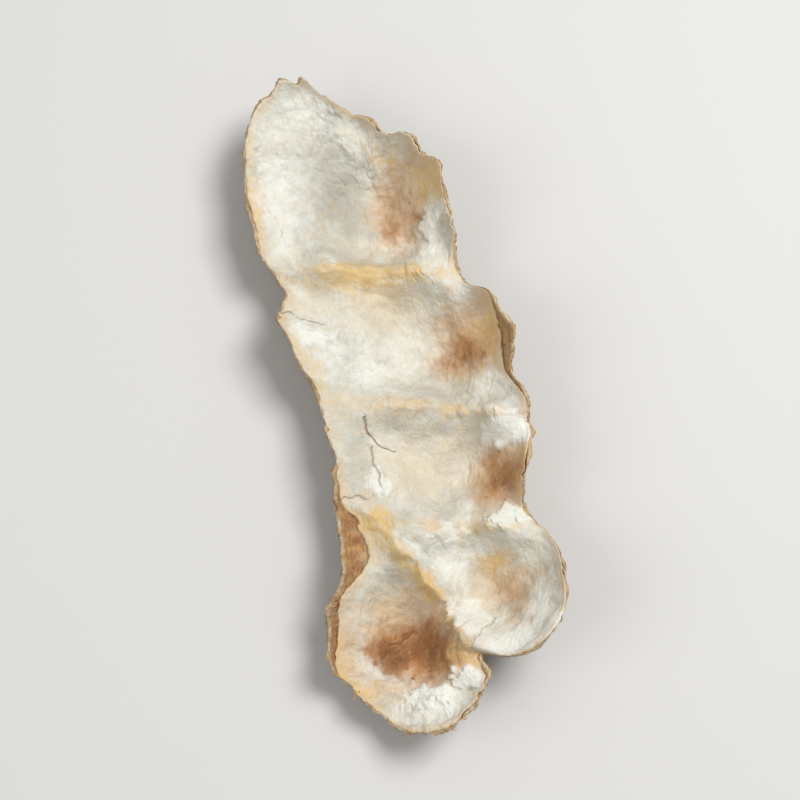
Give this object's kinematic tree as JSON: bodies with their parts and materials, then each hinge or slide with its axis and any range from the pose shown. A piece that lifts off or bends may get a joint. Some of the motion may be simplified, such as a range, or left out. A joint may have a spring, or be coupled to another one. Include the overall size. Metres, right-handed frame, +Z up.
{
  "type": "tamarind pod",
  "caption": "Opened half of a dried tamarind pod with a lumpy brown husk, a pale papery lining, shallow seed hollows and a torn rim, lying on its back.",
  "frame": {"origin": "middle of the pod's box, on the surface that it lies on", "axes": "+Y along the pod towards its stalk end, +Z up out of the open side, +X across it"},
  "size_m": [0.0356, 0.0734, 0.0115],
  "materials": {
    "husk": "dry, matt brown pod shell with fibres, tan along the torn edge",
    "lining": "dry, papery, off-white with brown pulp stains"
  },
  "bodies": {
    "root": {"husk": "husk", "lining": "lining"}
  },
  "joints": []
}
